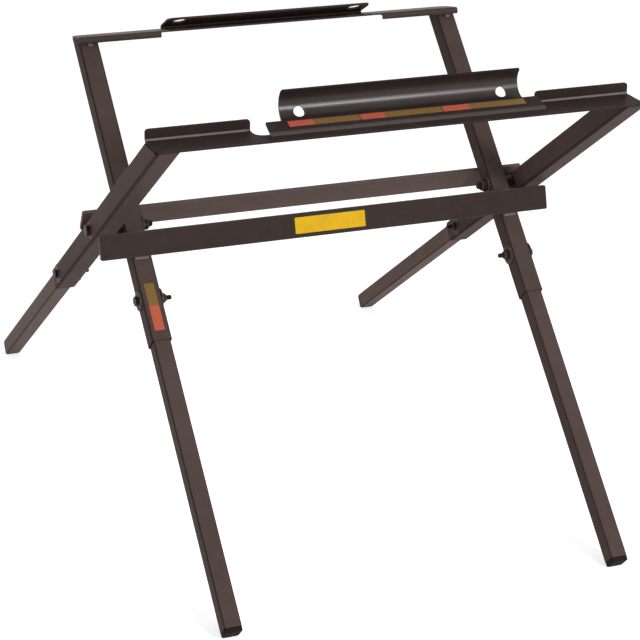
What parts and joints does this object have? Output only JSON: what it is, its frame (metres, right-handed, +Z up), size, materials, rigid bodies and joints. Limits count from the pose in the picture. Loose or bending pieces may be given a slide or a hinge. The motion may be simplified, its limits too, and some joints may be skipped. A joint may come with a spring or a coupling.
{
  "type": "folding table saw stand",
  "caption": "Folding scissor stand with square-tube legs, a front rail with a curved lip and a rear rail with a hook.",
  "frame": {"origin": "on the floor, at the centre of the outline seen from above, with the stand open", "axes": "+X is the stand's right side, -Y its front where the lower rail is, +Z up"},
  "size_m": [0.6124, 0.9128, 0.6052],
  "materials": {
    "powder_coat": "dark brown-grey satin powder coat",
    "foot_plastic": "matt black plastic",
    "fastener_steel": "blackened zinc"
  },
  "bodies": {
    "outer_frame": {"outer_leg_left": "powder_coat", "outer_lower_leg_left": "powder_coat", "outer_foot_left": "foot_plastic", "outer_joint_bolt_left": "fastener_steel", "outer_joint_nut_left": "fastener_steel", "outer_joint_washer_inside_left": "fastener_steel", "outer_joint_washer_outside_left": "fastener_steel", "outer_leg_right": "powder_coat", "outer_lower_leg_right": "powder_coat", "outer_foot_right": "foot_plastic", "outer_joint_bolt_right": "fastener_steel", "outer_joint_nut_right": "fastener_steel", "outer_joint_washer_inside_right": "fastener_steel", "outer_joint_washer_outside_right": "fastener_steel", "pivot_bolt_left": "fastener_steel", "pivot_nut_left": "fastener_steel", "pivot_spacer_left": "fastener_steel", "pivot_washer_inside_left": "fastener_steel", "pivot_washer_outside_left": "fastener_steel", "pivot_bolt_right": "fastener_steel", "pivot_nut_right": "fastener_steel", "pivot_spacer_right": "fastener_steel", "pivot_washer_inside_right": "fastener_steel", "pivot_washer_outside_right": "fastener_steel", "front_rail": "powder_coat", "front_saddle": "powder_coat", "rear_bar": "powder_coat"},
    "inner_frame": {"inner_leg_left": "powder_coat", "inner_lower_leg_left": "powder_coat", "inner_foot_left": "foot_plastic", "inner_joint_bolt_left": "fastener_steel", "inner_joint_nut_left": "fastener_steel", "inner_joint_washer_inside_left": "fastener_steel", "inner_joint_washer_outside_left": "fastener_steel", "inner_leg_right": "powder_coat", "inner_lower_leg_right": "powder_coat", "inner_foot_right": "foot_plastic", "inner_joint_bolt_right": "fastener_steel", "inner_joint_nut_right": "fastener_steel", "inner_joint_washer_inside_right": "fastener_steel", "inner_joint_washer_outside_right": "fastener_steel", "rear_rail": "powder_coat", "front_bar": "powder_coat"}
  },
  "joints": [
    {"name": "scissor_fold", "type": "hinge", "parent": "outer_frame", "child": "inner_frame", "pos_m": [0, -0.06837, 0.3723], "axis": [1, 0, 0], "range_deg": [0, 96]}
  ]
}
